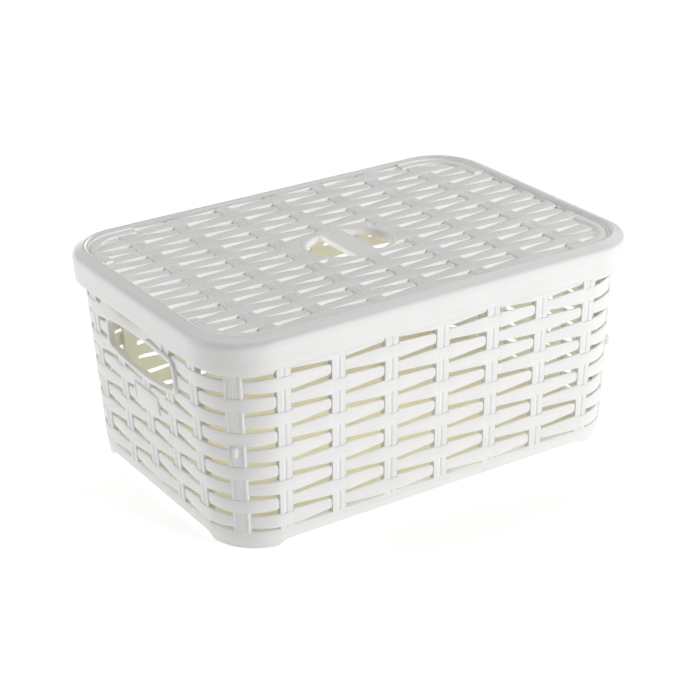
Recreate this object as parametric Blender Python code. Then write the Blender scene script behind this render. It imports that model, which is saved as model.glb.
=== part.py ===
"""Rattan-look storage basket with a lift-off lid, moulded in white plastic.

Every wall is an openwork plate: upright stakes in a row, and flat weavers that cross them,
passing over one stake and under the next. The slots between the weavers go right through.
The basket stands on four corner feet. The lid is a skirt, a rounded rim, a woven panel
and a grip, which is an oval ring with a bar across it and a finger hole on each side.

Sizes are in millimetres up to the point where a mesh is made. X runs along the basket's
long side, -Y is the front, +Z is up, and the feet stand on z = 0.
"""

import math

import bmesh
import bpy
from mathutils import Matrix, Vector

MM = 0.001

# The weave: distances between stakes, between weavers, and the parts of one leaf of weaver
LONG_PITCH = 34.7
END_PITCH = 30.0
ROW_PITCH = 10.58
STAKE_HALF_WIDTH = 4.5
LEAF_HALF_OVER = 4.5
LEAF_HALF_TONGUE = 3.2

# The basket's walls, whose half sizes are stated at the height of the top weaver
TOP_WEAVER_Z = 101.7
LAST_WEAVER = 8
HALF_LENGTH = 140.7
HALF_WIDTH = 97.8
DRAFT = 0.0491
WALL = 2.0
GAP = 0.3
BASE_Z = 3.1
BAND_TOP_Z = 11.4
WALL_TOP_Z = 119.5
LONG_HALF_COUNT = 3
END_HALF_COUNT = 2
CORNER_X = LONG_HALF_COUNT * LONG_PITCH
CORNER_Y = END_HALF_COUNT * END_PITCH

# The floor and the bead round the top edge
FLOOR_Z = 5.0
FLOOR_THICKNESS = 2.0
RIM_HEIGHT = 4.9
RIM_OVERHANG = 1.2

# The hand hole in each end wall: a slot with bowed long edges, and the frame round it
HAND_HALF_WIDTH = 38.9
HAND_LOW_Z = 80.9
HAND_HIGH_Z = 102.7
HAND_BOW_LOW = 3.0
HAND_BOW_HIGH = 2.0
HAND_CORNER = 4.0
HAND_ARC_STEPS = 4
FRAME_WIDTH = 3.0
FRAME_DEPTH = 4.4
FRAME_PROUD = 1.2
FRAME_SLOT_MARGIN = 1.0

# The blank tag plate under each hand hole
TAG_WIDTH = 30.0
TAG_HEIGHT = 11.0
TAG_THICKNESS = 1.5
TAG_CENTRE_Z = 64.5

# The lid
LID_HALF_LENGTH = 145.4
LID_HALF_WIDTH = 101.9
LID_CORNER = 36.0
SKIRT_LOW_Z = 112.6
SKIRT_HIGH_Z = 124.7
SKIRT_WALL = 1.5
PANEL_INSET = 8.3
PANEL_LOW_Z = 126.7
PANEL_THICKNESS = 2.0
LID_ROW_PITCH = 10.757
LID_LAST_SLOT = 7.5
LID_SLOT_MARGIN = 3.0
CENTRE_PANEL_EDGE = 3

# The grip in the middle of the lid
GRIP_OUTER_X = 30.9
GRIP_OUTER_Y = 25.2
GRIP_INNER_X = 27.0
GRIP_INNER_Y = 20.5
GRIP_LOW_Z = 123.4
GRIP_HIGH_Z = 128.0
BAR_HALF_WIDTH = 7.8
BAR_LOW_Z = 124.2
GRIP_SLOT_MARGIN = 1.5

CORNER_STEPS = 6
OVAL_STEPS = 32

# A corner's grid, in degrees from the wall: where the slots are half way to the corner
# stake, and how much wider than a rib the corner stake is
CORNER_HALFWAY = 22.0
CORNER_STAKE_WIDENING = 1.2
SLOT_COLUMNS = (1, 2, 5, 6)

# Half profile of the lid's rim, as (inset from the lid's outline, height)
RIM_PROFILE = (
    (0.2, 125.0),
    (0.5, 127.0),
    (1.3, 128.9),
    (2.6, 130.4),
    (4.3, 131.5),
    (6.2, 131.9),
    (8.0, 131.7),
    (8.0, 126.7),
    (6.4, 126.7),
    (6.4, 130.1),
    (4.9, 129.9),
    (3.4, 128.6),
    (2.5, 127.0),
    (2.1, 125.0),
)

WHITE = (0.90, 0.90, 0.88, 1.0)
SHADED_WHITE = (0.84, 0.84, 0.81, 1.0)
PLASTIC_ROUGHNESS = 0.38


def clear_scene():
    for obj in list(bpy.data.objects):
        bpy.data.objects.remove(obj, do_unlink=True)


def plastic(name, colour):
    """A Principled BSDF material for one sub-part."""
    material = bpy.data.materials.new(name)
    material.use_nodes = True
    material.diffuse_color = colour
    shader = material.node_tree.nodes["Principled BSDF"]
    shader.inputs["Base Color"].default_value = colour
    shader.inputs["Roughness"].default_value = PLASTIC_ROUGHNESS
    shader.inputs["Metallic"].default_value = 0.0
    return material


def add_object(name, bm, parent, colour=WHITE, smooth=False):
    """Make an object of a bmesh whose coordinates are in millimetres."""
    bmesh.ops.scale(bm, vec=(MM, MM, MM), verts=bm.verts)
    bmesh.ops.recalc_face_normals(bm, faces=bm.faces)
    mesh = bpy.data.meshes.new(name)
    bm.to_mesh(mesh)
    bm.free()
    if smooth:
        mesh.shade_smooth()
    mesh.materials.append(plastic(name, colour))
    obj = bpy.data.objects.new(name, mesh)
    bpy.context.scene.collection.objects.link(obj)
    obj.parent = parent
    return obj


def add_empty(name):
    empty = bpy.data.objects.new(name, None)
    bpy.context.scene.collection.objects.link(empty)
    return empty


def plate(outline, holes, low, high):
    """A flat plate between two heights, with an outline and holes in its XY plane."""
    bm = bmesh.new()
    for loop in (outline, *holes):
        verts = [bm.verts.new((x, y, low)) for x, y in loop]
        for first, second in zip(verts, verts[1:] + verts[:1]):
            bm.edges.new((first, second))
    bmesh.ops.triangle_fill(bm, use_beauty=True, use_dissolve=False, edges=bm.edges[:])
    grown = bmesh.ops.extrude_face_region(bm, geom=bm.faces[:])
    raised = [part for part in grown["geom"] if isinstance(part, bmesh.types.BMVert)]
    bmesh.ops.translate(bm, vec=(0.0, 0.0, high - low), verts=raised)
    return bm


def stand_up(obj, half_size, turn):
    """Stand a plate up as a wall that leans outward, a quarter turn at a time round Z."""
    lean = math.atan(DRAFT)
    foot = Vector((0.0, -half_size * MM, BASE_Z * MM))
    tilt = Matrix.Rotation(math.pi / 2 + lean, 4, "X")
    obj.matrix_local = Matrix.Rotation(turn, 4, "Z") @ Matrix.Translation(foot) @ tilt


def half_length_at(z):
    return HALF_LENGTH + DRAFT * (z - TOP_WEAVER_Z)


def half_width_at(z):
    return HALF_WIDTH + DRAFT * (z - TOP_WEAVER_Z)


def weaver_z(row):
    return TOP_WEAVER_Z - ROW_PITCH * row


def leaf_half_height(is_over):
    return LEAF_HALF_OVER if is_over else LEAF_HALF_TONGUE


def slot_heights(row, is_over_row):
    """Bottom and top of the slot under a weaver, at a stake that the weaver crosses."""
    top = weaver_z(row) - leaf_half_height(is_over_row)
    bottom = weaver_z(row + 1) + leaf_half_height(not is_over_row)
    if row == LAST_WEAVER:
        bottom = BAND_TOP_Z
    return bottom, top


def slot_quad(left, right, left_ends, right_ends):
    """Corners of a slot between two upright lines, from its bottom and top at each."""
    return (
        (left, left_ends[0]),
        (right, right_ends[0]),
        (right, right_ends[1]),
        (left, left_ends[1]),
    )


def wall_slots(pitch, half_count, even_row_over_middle):
    """Slots of a wall in its own plane: x along it, y its height above the base edge."""
    slots = []
    for stake in range(-half_count, half_count):
        left = stake * pitch + STAKE_HALF_WIDTH
        right = (stake + 1) * pitch - STAKE_HALF_WIDTH
        for row in range(-1, LAST_WEAVER + 1):
            is_over_left = (row + stake) % 2 == (0 if even_row_over_middle else 1)
            left_ends = slot_heights(row, is_over_left)
            right_ends = slot_heights(row, not is_over_left)
            slots.append(slot_quad(left, right, left_ends, right_ends))
    return slots


def lowered(loop):
    """A loop drawn at world heights, moved into the plane of a leaning wall."""
    slope = math.hypot(1.0, DRAFT)
    return [(x, (z - BASE_Z) * slope) for x, z in loop]


def arc(centre, radius, start, stop, steps):
    points = []
    for step in range(steps + 1):
        angle = math.radians(start + (stop - start) * step / steps)
        points.append((centre[0] + radius * math.cos(angle), centre[1] + radius * math.sin(angle)))
    return points


def bowed_edge(half_span, height, bow, steps):
    """Points from left to right along an edge that is highest by bow at its middle."""
    points = []
    for step in range(1, steps):
        along = 2.0 * step / steps - 1.0
        points.append((along * half_span, height - bow * along * along))
    return points


def hand_hole(grow):
    """Outline of the hand hole, counter-clockwise, moved outward by grow."""
    half = HAND_HALF_WIDTH + grow
    radius = HAND_CORNER + grow
    inner = half - radius
    low = HAND_LOW_Z + HAND_BOW_LOW - grow
    high = HAND_HIGH_Z - HAND_BOW_HIGH + grow
    steps = HAND_ARC_STEPS
    top = bowed_edge(inner, high + HAND_BOW_HIGH, HAND_BOW_HIGH, 2 * steps)
    bottom = bowed_edge(inner, low - HAND_BOW_LOW, -HAND_BOW_LOW, 2 * steps)
    loop = arc((inner, low + radius), radius, -90, 0, steps)
    loop += arc((inner, high - radius), radius, 0, 90, steps)
    loop += reversed(top)
    loop += arc((-inner, high - radius), radius, 90, 180, steps)
    loop += arc((-inner, low + radius), radius, 180, 270, steps)
    loop += bottom
    return loop


def clip_beside_frame(slot):
    """Shorten or drop a slot of an end wall where the hand hole's frame is."""
    edge = HAND_HALF_WIDTH + FRAME_WIDTH + STAKE_HALF_WIDTH / 2
    low = HAND_LOW_Z - FRAME_WIDTH - FRAME_SLOT_MARGIN
    (left, low_left), (right, low_right), (_, high_right), (_, high_left) = slot
    if max(high_left, high_right) < low or left >= edge or right <= -edge:
        return slot
    if left > -edge and right < edge:
        return None
    stop = -edge if left < -edge else edge
    share = (stop - left) / (right - left)
    cut_low = low_left + share * (low_right - low_left)
    cut_high = high_left + share * (high_right - high_left)
    if left < -edge:
        return slot_quad(left, stop, (low_left, high_left), (cut_low, cut_high))
    return slot_quad(stop, right, (cut_low, cut_high), (low_right, high_right))


def wall_outline(half_span):
    return lowered(
        (
            (-half_span, BASE_Z),
            (half_span, BASE_Z),
            (half_span, WALL_TOP_Z),
            (-half_span, WALL_TOP_Z),
        )
    )


def build_long_wall(name, turn, parent):
    slots = wall_slots(LONG_PITCH, LONG_HALF_COUNT, False)
    bm = plate(wall_outline(CORNER_X - GAP / 2), [lowered(slot) for slot in slots], -WALL, 0.0)
    obj = add_object(name, bm, parent)
    stand_up(obj, half_width_at(BASE_Z), turn)


def build_end_wall(side, turn, parent):
    """An end wall, the frame of its hand hole and its tag plate."""
    slots = [clip_beside_frame(slot) for slot in wall_slots(END_PITCH, END_HALF_COUNT, True)]
    holes = [lowered(slot) for slot in slots if slot]
    holes.append(lowered(hand_hole(FRAME_WIDTH + GAP)))
    half_size = half_length_at(BASE_Z)
    bm = plate(wall_outline(CORNER_Y - GAP / 2), holes, -WALL, 0.0)
    wall = add_object(f"{side}_end_wall", bm, parent, SHADED_WHITE)
    stand_up(wall, half_size, turn)

    outer = lowered(hand_hole(FRAME_WIDTH))
    inner = lowered(hand_hole(0.0))
    bm = plate(outer, [inner], FRAME_PROUD - FRAME_DEPTH, FRAME_PROUD)
    frame = add_object(f"{side}_hand_hole_frame", bm, parent, SHADED_WHITE)
    stand_up(frame, half_size, turn)

    half = TAG_WIDTH / 2
    low = TAG_CENTRE_Z - TAG_HEIGHT / 2
    high = TAG_CENTRE_Z + TAG_HEIGHT / 2
    outline = lowered(((-half, low), (half, low), (half, high), (-half, high)))
    bm = plate(outline, [], GAP, GAP + TAG_THICKNESS)
    tag = add_object(f"{side}_tag_plate", bm, parent, SHADED_WHITE)
    stand_up(tag, half_size, turn)


def corner_stations():
    """Angles round a corner, each with how far it is from its end stake to the corner stake."""
    rib = math.degrees(STAKE_HALF_WIDTH / LONG_PITCH)
    side = [0.0, rib, CORNER_HALFWAY, 45.0 - rib * CORNER_STAKE_WIDENING]
    shares = [0.0, 0.0, 0.5, 1.0]
    stations = list(zip(side, shares)) + [(45.0, 1.0)]
    stations += [(90.0 - angle, share) for angle, share in reversed(list(zip(side, shares)))]
    return stations


def corner_levels(share, is_end):
    """Heights of the grid's lines at one station: foot, slot edges and top."""
    levels = [BASE_Z if is_end else 0.0]
    for row in range(LAST_WEAVER, -2, -1):
        is_over_end = row % 2 == 0
        at_end = slot_heights(row, is_over_end)
        at_corner = slot_heights(row, not is_over_end)
        levels += [at_end[0] + share * (at_corner[0] - at_end[0])]
        levels += [at_end[1] + share * (at_corner[1] - at_end[1])]
    levels.append(WALL_TOP_Z)
    return levels


def build_corner(name, x_side, y_side, parent):
    """A rounded corner of the basket with its own stake, its slots and the foot under it."""
    stations = corner_stations()
    bm = bmesh.new()
    grid = []
    for index, (angle, share) in enumerate(stations):
        is_end = index in (0, len(stations) - 1)
        column = []
        for z in corner_levels(share, is_end):
            pair = []
            for depth in (0.0, WALL):
                reach_x = half_length_at(z) - CORNER_X - GAP / 2 - depth
                reach_y = half_width_at(z) - CORNER_Y - GAP / 2 - depth
                x = CORNER_X + GAP / 2 + reach_x * math.sin(math.radians(angle))
                y = CORNER_Y + GAP / 2 + reach_y * math.cos(math.radians(angle))
                pair.append(bm.verts.new((x_side * x, y_side * y, z)))
            column.append(pair)
        grid.append(column)

    columns = len(grid) - 1
    rows = len(grid[0]) - 1

    def is_solid(column, row):
        if not (0 <= column < columns and 0 <= row < rows):
            return False
        return not (column in SLOT_COLUMNS and row % 2 == 1)

    for column in range(columns):
        for row in range(rows):
            if not is_solid(column, row):
                continue
            near, far = grid[column], grid[column + 1]
            corners = (near[row], far[row], far[row + 1], near[row + 1])
            bm.faces.new([pair[0] for pair in corners])
            bm.faces.new([pair[1] for pair in reversed(corners)])
            sides = ((0, -1), (1, 0), (0, 1), (-1, 0))
            for edge, (step_column, step_row) in enumerate(sides):
                if is_solid(column + step_column, row + step_row):
                    continue
                first, second = corners[edge], corners[(edge + 1) % 4]
                bm.faces.new((first[0], first[1], second[1], second[0]))
    bmesh.ops.triangulate(bm, faces=bm.faces[:])
    add_object(name, bm, parent)


def rounded_rectangle(half_x, half_y, radius_x, radius_y):
    """Counter-clockwise outline with elliptical corners."""
    points = []
    for turn, (x_side, y_side) in enumerate(((1, 1), (-1, 1), (-1, -1), (1, -1))):
        for step in range(CORNER_STEPS + 1):
            angle = math.pi / 2 * (turn + step / CORNER_STEPS)
            x = x_side * (half_x - radius_x) + radius_x * math.cos(angle)
            y = y_side * (half_y - radius_y) + radius_y * math.sin(angle)
            points.append((x, y))
    return points


def basket_outline(z, inset):
    """The basket's plan at a height, moved inward by inset."""
    half_x = half_length_at(z) - inset
    half_y = half_width_at(z) - inset
    return rounded_rectangle(half_x, half_y, half_x - CORNER_X, half_y - CORNER_Y)


def lid_outline(inset):
    radius = LID_CORNER - inset
    return rounded_rectangle(LID_HALF_LENGTH - inset, LID_HALF_WIDTH - inset, radius, radius)


def swept_ring(loops):
    """A closed ring through equal-length loops of (points, z), joined in order."""
    bm = bmesh.new()
    rings = [[bm.verts.new((x, y, z)) for x, y in points] for points, z in loops]
    for ring, following in zip(rings, rings[1:] + rings[:1]):
        count = len(ring)
        for index in range(count):
            after = (index + 1) % count
            bm.faces.new((ring[index], ring[after], following[after], following[index]))
    return bm


def build_floor(parent):
    outline = basket_outline(FLOOR_Z, WALL + GAP)
    bm = plate(outline, [], FLOOR_Z, FLOOR_Z + FLOOR_THICKNESS)
    add_object("basket_floor", bm, parent)


def build_basket_rim(parent):
    low = WALL_TOP_Z + GAP
    outer = basket_outline(low, -RIM_OVERHANG)
    inner = basket_outline(low, WALL)
    add_object("basket_rim", plate(outer, [inner], low, low + RIM_HEIGHT), parent)


def build_lid_skirt(parent):
    bm = plate(lid_outline(0.0), [lid_outline(SKIRT_WALL)], SKIRT_LOW_Z, SKIRT_HIGH_Z)
    add_object("lid_skirt", bm, parent)


def build_lid_rim(parent):
    bm = swept_ring([(lid_outline(inset), z) for inset, z in RIM_PROFILE])
    add_object("lid_rim", bm, parent, smooth=True)


def panel_slots():
    """Slots of the lid's panel in plan, between stakes that run from front to back."""
    slots = []
    last = LONG_HALF_COUNT + 1
    edge = LID_HALF_LENGTH - PANEL_INSET - LID_SLOT_MARGIN
    for stake in range(-last, last):
        left = max(stake * LONG_PITCH + STAKE_HALF_WIDTH, -edge)
        right = min((stake + 1) * LONG_PITCH - STAKE_HALF_WIDTH, edge)
        for step in range(int(2 * LID_LAST_SLOT) + 1):
            row = step - round(LID_LAST_SLOT + 0.5)
            ends = []
            for near in (stake, stake + 1):
                is_over = (near + row) % 2 == 0
                low = row * LID_ROW_PITCH + leaf_half_height(is_over)
                high = (row + 1) * LID_ROW_PITCH - leaf_half_height(not is_over)
                ends.append((low, high))
            slots.append(slot_quad(left, right, ends[0], ends[1]))
    return slots


def inside_panel(slot):
    """Whether a slot is clear of the panel's rounded outline."""
    radius = LID_CORNER - PANEL_INSET
    centre_x = LID_HALF_LENGTH - LID_CORNER
    centre_y = LID_HALF_WIDTH - LID_CORNER
    for x, y in slot:
        over_x = abs(x) - centre_x
        over_y = abs(y) - centre_y
        if over_x > 0 and over_y > 0 and math.hypot(over_x, over_y) > radius - LID_SLOT_MARGIN:
            return False
    return True


def clear_of_grip(slot):
    """Whether a slot stays off the oval ring of the grip."""
    reach_x = GRIP_OUTER_X + GRIP_SLOT_MARGIN
    reach_y = GRIP_OUTER_Y + GRIP_SLOT_MARGIN
    (left, _), (right, _) = slot[:2]
    nearest_x = 0.0 if left < 0 < right else min(abs(left), abs(right))
    nearest_y = min(abs(y) for _, y in slot)
    return (nearest_x / reach_x) ** 2 + (nearest_y / reach_y) ** 2 > 1.0


def oval(half_x, half_y):
    points = []
    for step in range(OVAL_STEPS):
        angle = 2 * math.pi * step / OVAL_STEPS
        points.append((half_x * math.cos(angle), half_y * math.sin(angle)))
    return points


def box_outline(low_x, high_x, low_y, high_y):
    return [(low_x, low_y), (high_x, low_y), (high_x, high_y), (low_x, high_y)]


def end_panel_outline(side):
    """Outline of the panel's piece at one end, from its cut to the rounded end."""
    cut = LONG_PITCH + GAP / 2
    half_y = LID_HALF_WIDTH - PANEL_INSET
    rounded = [point for point in lid_outline(PANEL_INSET) if point[0] > 0]
    middle = len(rounded) // 2
    outline = [(cut, -half_y)] + rounded[middle:] + rounded[:middle] + [(cut, half_y)]
    if side > 0:
        return outline
    return [(-x, y) for x, y in reversed(outline)]


def build_lid_panel(parent):
    """The woven panel, cut along stakes and weavers into flat plates round the grip."""
    slots = [slot for slot in panel_slots() if inside_panel(slot) and clear_of_grip(slot)]
    half_y = LID_HALF_WIDTH - PANEL_INSET
    cut_y = CENTRE_PANEL_EDGE * LID_ROW_PITCH
    inner_x = LONG_PITCH - GAP / 2
    inner_y = cut_y - GAP / 2
    outer_y = cut_y + GAP / 2
    ring_seat = oval(GRIP_OUTER_X + GAP, GRIP_OUTER_Y + GAP)

    def is_central(x):
        return abs(x) < LONG_PITCH

    def is_beside_grip(x, y):
        return is_central(x) and abs(y) < cut_y

    front = box_outline(-inner_x, inner_x, -half_y, -outer_y)
    back = box_outline(-inner_x, inner_x, outer_y, half_y)
    surround = box_outline(-inner_x, inner_x, -inner_y, inner_y)
    pieces = (
        ("lid_panel_left", end_panel_outline(-1), lambda x, y: x < -LONG_PITCH, []),
        ("lid_panel_right", end_panel_outline(1), lambda x, y: x > LONG_PITCH, []),
        ("lid_panel_front", front, lambda x, y: is_central(x) and y < -cut_y, []),
        ("lid_panel_back", back, lambda x, y: is_central(x) and y > cut_y, []),
        ("lid_grip_surround", surround, is_beside_grip, [ring_seat]),
    )
    high = PANEL_LOW_Z + PANEL_THICKNESS
    for name, outline, belongs, holes in pieces:
        own = [list(slot) for slot in slots if all(belongs(x, y) for x, y in slot)]
        add_object(name, plate(outline, own + holes, PANEL_LOW_Z, high), parent)


def build_grip(parent):
    outer = oval(GRIP_OUTER_X, GRIP_OUTER_Y)
    inner = oval(GRIP_INNER_X, GRIP_INNER_Y)
    add_object("lid_grip_ring", plate(outer, [inner], GRIP_LOW_Z, GRIP_HIGH_Z), parent)

    half_y = GRIP_INNER_Y * math.sqrt(1.0 - (BAR_HALF_WIDTH / GRIP_INNER_X) ** 2) - 2 * GAP
    bar = box_outline(-BAR_HALF_WIDTH, BAR_HALF_WIDTH, -half_y, half_y)
    add_object("lid_grip_bar", plate(bar, [], BAR_LOW_Z, GRIP_HIGH_Z), parent)


def build():
    clear_scene()
    basket = add_empty("basket_frame")
    lid = add_empty("lid_lift_axis")

    build_long_wall("front_wall", 0.0, basket)
    build_long_wall("back_wall", math.pi, basket)
    build_end_wall("left", -math.pi / 2, basket)
    build_end_wall("right", math.pi / 2, basket)
    for end_name, x_side in (("left", -1), ("right", 1)):
        for face_name, y_side in (("front", -1), ("back", 1)):
            build_corner(f"{face_name}_{end_name}_corner", x_side, y_side, basket)
    build_floor(basket)
    build_basket_rim(basket)

    build_lid_skirt(lid)
    build_lid_rim(lid)
    build_lid_panel(lid)
    build_grip(lid)


build()
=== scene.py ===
"""The looks of the rattan-look storage basket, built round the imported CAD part.

Every wall and the lid's panel are a moulded weave: upright stakes with two ribs each, and flat
leaves that are widest where they cross over a stake and end in rounded tips beside the next.
Lengths are in millimetres up to the point where a mesh is made.
"""

import math
from collections import namedtuple

import bmesh
import bpy
import numpy as np
from mathutils import Matrix, Vector


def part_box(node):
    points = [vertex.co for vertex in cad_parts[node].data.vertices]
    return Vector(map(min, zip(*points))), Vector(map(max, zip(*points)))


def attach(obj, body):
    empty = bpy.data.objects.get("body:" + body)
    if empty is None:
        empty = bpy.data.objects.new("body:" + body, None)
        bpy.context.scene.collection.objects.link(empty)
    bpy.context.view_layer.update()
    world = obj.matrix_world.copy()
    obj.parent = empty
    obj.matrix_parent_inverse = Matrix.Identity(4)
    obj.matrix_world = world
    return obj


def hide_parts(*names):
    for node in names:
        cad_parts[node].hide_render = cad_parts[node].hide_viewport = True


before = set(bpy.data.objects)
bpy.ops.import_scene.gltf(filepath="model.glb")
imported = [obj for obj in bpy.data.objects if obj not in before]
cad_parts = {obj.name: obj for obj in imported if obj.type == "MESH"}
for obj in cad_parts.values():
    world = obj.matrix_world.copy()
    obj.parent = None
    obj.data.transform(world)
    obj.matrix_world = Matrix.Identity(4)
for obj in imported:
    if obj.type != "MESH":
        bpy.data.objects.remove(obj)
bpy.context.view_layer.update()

MM = 0.001


def box_mm(node):
    low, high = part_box(node)
    return Vector(low) / MM, Vector(high) / MM


# The basket's weave
LONG_PITCH = 34.7
END_PITCH = 30.0
ROW_PITCH = 10.58
TOP_WEAVER_Z = 101.7
LAST_ROW = 8
DRAFT = 0.0491
LONG_FAN = 0.0023 / LONG_PITCH
END_FAN = 0.0053 / LONG_PITCH
STAKES_ROUND = 28
HALF_ROUND = STAKES_ROUND // 2
CORNER_STAKES = (7, 13, 21, 27)
NUB_STAKES = (7, 27)
STAKE_HALF = 4.5
CORNER_STAKE_HALF = 5.2
ARC_OVER_CHORD = 1.006

# The base band. Its lower edge is on the ground round each corner. It climbs over FOOT_RUN, which
# ends FOOT_PAST beyond FOOT_REACH stake spacings from the corner's stake. CORNER_SHARE is the ratio
# of such a spacing to one at the front.
BAND_TOP_Z = 11.4
BAND_STEP_Z = 6.7
BAND_LOW_Z = 3.1
FOOT_REACH = 1.0
FOOT_PAST = 2.0
FOOT_RUN = 9.0
CORNER_SHARE = 0.86

# One side of a leaf: its half height where it crosses its stake, beside the stake and at its tip,
# its thickness, how far the tip lies behind the middle, the length of the tip's rounding and how far
# it drops, the edge radius, how much wider the back is than the front, and the thickness at the
# stake. LAST_LEAF is a wall's last one before a corner, and TURN_LEAF the corner's, towards it.
LeafShape = namedtuple(
    "LeafShape", "half_over half_side half_tip thick dip run drop edge spread thin"
)
WALL_LEAF = LeafShape(
    half_over=3.75, half_side=4.75, half_tip=3.15, thick=0.9, dip=0.8,
    run=2.2, drop=0.6, edge=0.4, spread=0.1, thin=0.9,
)
CORNER_LEAF = WALL_LEAF._replace(half_side=4.3, half_tip=3.7, run=2.4)
LAST_LEAF = CORNER_LEAF._replace(half_tip=4.6)
TURN_LEAF = CORNER_LEAF._replace(half_side=5.2, half_tip=3.6)
LID_LEAF = WALL_LEAF._replace(half_over=4.5, half_side=4.85, half_tip=3.6)
LID_LEAF = LID_LEAF._replace(thick=3.2, dip=0.95, run=3.2, edge=0.3, spread=0.25, thin=0.8)

# Faces of the weave, outward from the wall's plan
STAKE_FACE = -0.5
STAKE_BACK = -4.3
BRIDGE_FACE = -3.5
BRIDGE_THICK = 1.3

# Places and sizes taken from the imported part
_low, _high = box_mm("front_wall")
WALL_TOP_Z = _high.z
HALF_WIDTH_TOP = -_low.y
_low, _high = box_mm("left_end_wall")
HALF_LENGTH_TOP = -_low.x
_low, _high = box_mm("lid_skirt")
SKIRT_LOW_Z = _low.z
LID_X = _high.x
LID_Y = _high.y
_low, _high = box_mm("lid_rim")
RIM_TOP_Z = _high.z
_low, _high = box_mm("basket_rim")
BEAD_LOW_Z = _low.z
BEAD_TOP_Z = _high.z
_low, _high = box_mm("basket_floor")
FLOOR_LOW_Z = _low.z
FLOOR_TOP_Z = _high.z
_low, _high = box_mm("lid_grip_ring")
RING_X = _high.x
RING_Y = _high.y
RING_TOP_Z = _high.z
_low, _high = box_mm("lid_grip_bar")
BAR_HALF = _high.x
BAR_LOW_Z = _low.z
_low, _high = box_mm("left_hand_hole_frame")
FRAME_HALF = _high.y
_low, _high = box_mm("left_tag_plate")
TAG_HALF = _high.y
TAG_LOW_Z = _low.z
TAG_HIGH_Z = _high.z

# The lid
LID_CORNER = 36.0
RIM_LOW_Z = 124.8
LIP_LOW_Z = 126.6
LID_ROW_PITCH = 10.757
LID_LAST_ROW = 9
LID_END_STAKE = 4
PANEL_Z = 129.6
PANEL_SAG = 1.8
RIM_INSET = 8.3
BORDER_INSET = 16.4
BORDER_END_X = 96.8
BORDER_END_Y = 50.8


# -------- meshes


class Shell:
    """Closed lofts gathered into one mesh, with UVs in millimetres: u along, v round."""

    def __init__(self):
        self.points = []
        self.faces = []
        self.uvs = []

    def loft(self, rings, along, closed=False):
        """A tube through rings of equal count. along is each ring's u."""
        rings = np.asarray(rings, float)
        count = rings.shape[1]
        first = len(self.points)
        self.points.extend(rings.reshape(-1, 3).tolist())
        middle = rings[len(rings) // 2]
        steps = np.linalg.norm(np.roll(middle, -1, 0) - middle, axis=1)
        around = np.concatenate([[0.0], np.cumsum(steps)])
        shift = 7.31 * len(self.faces) % 997.0
        total = len(rings)
        for r in range(total if closed else total - 1):
            here, there = first + r * count, first + (r + 1) % total * count
            low = along[r] + shift
            high = (along[r + 1] if r + 1 < len(along) else along[0]) + shift
            for p in range(count):
                q = (p + 1) % count
                self.faces.append((here + p, here + q, there + q, there + p))
                a, b = around[p], around[p + 1]
                self.uvs.append(((low, a), (low, b), (high, b), (high, a)))
        if not closed:
            for start, flip in ((first, True), (first + (total - 1) * count, False)):
                face = tuple(range(start, start + count))
                self.faces.append(face[::-1] if flip else face)
                self.uvs.append(tuple((shift, v) for v in around[:count]))

    def make(self, name, body, slot, material, stands_for=(), sharp=38.0):
        """The lofts as one piece on a body, in place of the CAD nodes that it stands for."""
        mesh = bpy.data.meshes.new(name)
        mesh.from_pydata([tuple(c * MM for c in p) for p in self.points], [], self.faces)
        layer = mesh.uv_layers.new(name="strand")
        flat = [c * MM for face in self.uvs for uv in face for c in uv]
        layer.data.foreach_set("uv", flat)
        bm = bmesh.new()
        bm.from_mesh(mesh)
        bmesh.ops.recalc_face_normals(bm, faces=bm.faces)
        bm.to_mesh(mesh)
        bm.free()
        mesh.shade_smooth()
        mesh.set_sharp_from_angle(angle=math.radians(sharp))
        mesh.materials.append(material)
        obj = bpy.data.objects.new(name, mesh)
        bpy.context.scene.collection.objects.link(obj)
        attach(obj, body)
        if stands_for:
            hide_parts(*stands_for)


def distances(rings):
    """How far along a loft each of its rings lies, measured at their first points."""
    along = [0.0]
    for a, b in zip(rings, rings[1:]):
        along.append(along[-1] + math.dist(a[0], b[0]))
    return along


def close_loft(shell, rings):
    """A loft whose last ring joins its first."""
    along = distances(rings)
    shell.loft(rings, along + [along[-1] + 2.0], closed=True)


# -------- the walls' plan


def half_length(z):
    return HALF_LENGTH_TOP + DRAFT * (z - WALL_TOP_Z)


def half_width(z):
    return HALF_WIDTH_TOP + DRAFT * (z - WALL_TOP_Z)


def long_stake_x(index, z):
    return index * LONG_PITCH * (1.0 + LONG_FAN * (z - TOP_WEAVER_Z))


def end_stake_y(index, z):
    return index * END_PITCH * (1.0 + END_FAN * (z - TOP_WEAVER_Z))


def wall_point(q, z, n):
    """The point at stake position q round the basket, height z and distance n outward.

    Stakes 0 to 6 are the front's, 7 a corner's, 8 to 12 the right end's, 13 a corner's,
    14 to 20 the back's, 21 a corner's, 22 to 26 the left end's and 27 a corner's.
    """
    q = q % STAKES_ROUND
    turned = q >= HALF_ROUND
    q = q - HALF_ROUND if turned else q
    corner_x = long_stake_x(3, z)
    corner_y = end_stake_y(2, z)
    if q <= 6:
        x, y = long_stake_x(q - 3, z), -half_width(z)
        out = (0.0, -1.0)
    elif 8 <= q <= 12:
        x, y = half_length(z), end_stake_y(q - 10, z)
        out = (1.0, 0.0)
    else:
        angle = math.radians(45.0 * (q - 8 if q < 8 else q - 12))
        out = (math.cos(angle), math.sin(angle))
        x = corner_x + (half_length(z) - corner_x) * out[0]
        y = (half_width(z) - corner_y) * out[1] + (corner_y if q > 8 else -corner_y)
    x += out[0] * n
    y += out[1] * n
    return (-x, -y, z) if turned else (x, y, z)


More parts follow.
